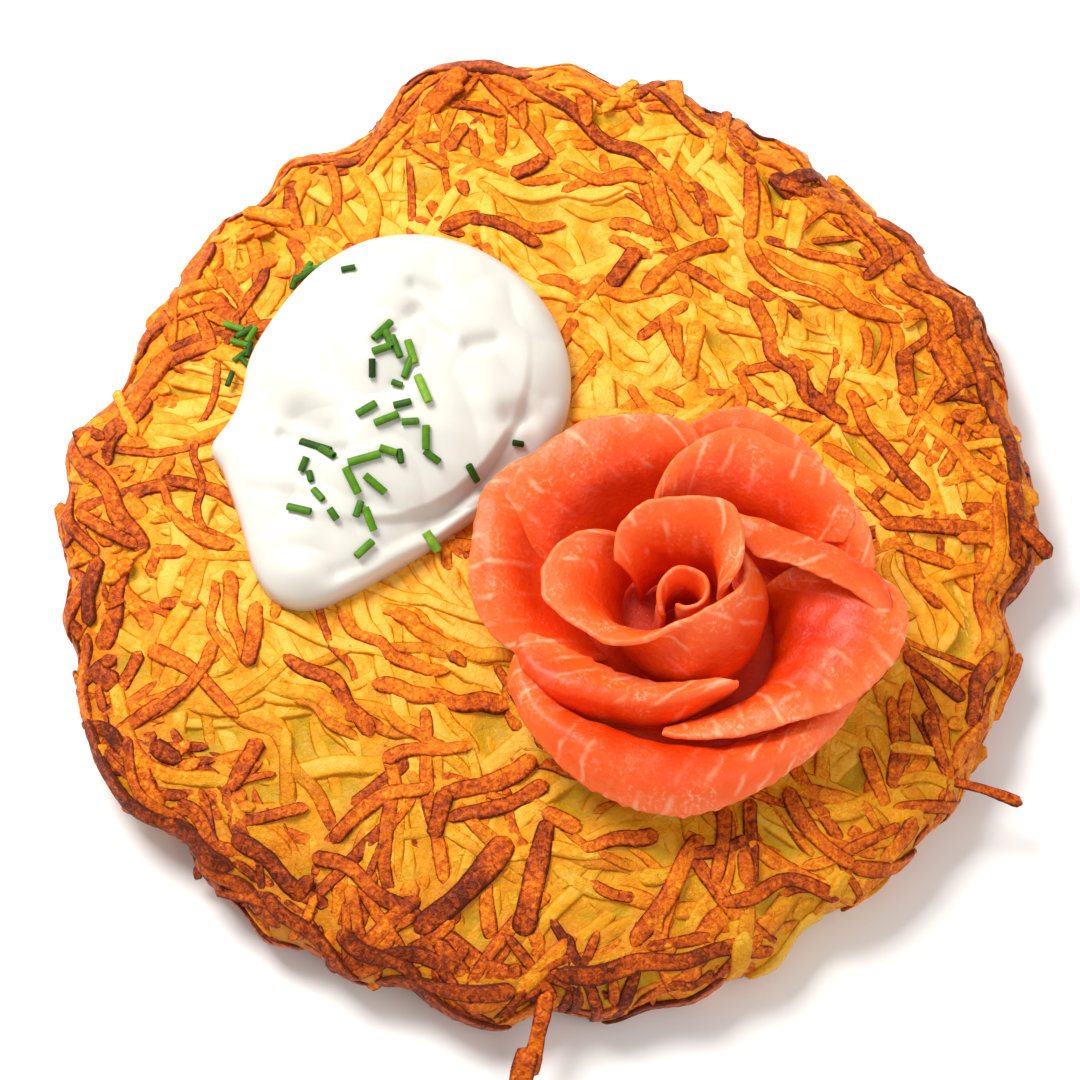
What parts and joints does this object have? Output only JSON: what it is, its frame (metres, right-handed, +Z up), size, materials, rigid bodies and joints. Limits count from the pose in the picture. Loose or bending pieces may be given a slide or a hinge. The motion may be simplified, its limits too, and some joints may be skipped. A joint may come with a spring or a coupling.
{
  "type": "potato rosti",
  "caption": "Round fried cake of shredded potato, topped with a dollop of sour cream and a rose wound from slices of smoked salmon.",
  "frame": {"origin": "middle of the whole's outline, on the surface that the cake lies on", "axes": "+Z up out of the cake, +X to the right and -Y towards the eater, with the sour cream at the back left and the salmon rose at the front right"},
  "size_m": [0.1616, 0.1733, 0.0414],
  "materials": {
    "fried_potato": "pan-fried potato shreds, golden with browned edges and a thin film of fat",
    "sour_cream": "smooth, moist sour cream",
    "smoked_salmon": "moist sliced smoked salmon, slightly translucent",
    "chive": "fresh cut chives, on the looks only"
  },
  "bodies": {
    "root": {"rosti": "fried_potato", "sour_cream": "sour_cream", "salmon_base": "smoked_salmon", "salmon_heart": "smoked_salmon", "salmon_cup_back": "smoked_salmon", "salmon_cup_front": "smoked_salmon", "salmon_petal_front_left": "smoked_salmon", "salmon_petal_right": "smoked_salmon", "salmon_petal_hem": "smoked_salmon", "salmon_petal_fold": "smoked_salmon", "salmon_petal_back_left": "smoked_salmon", "salmon_petal_left": "smoked_salmon", "salmon_petal_back_right": "smoked_salmon", "salmon_petal_front": "smoked_salmon"}
  },
  "joints": []
}
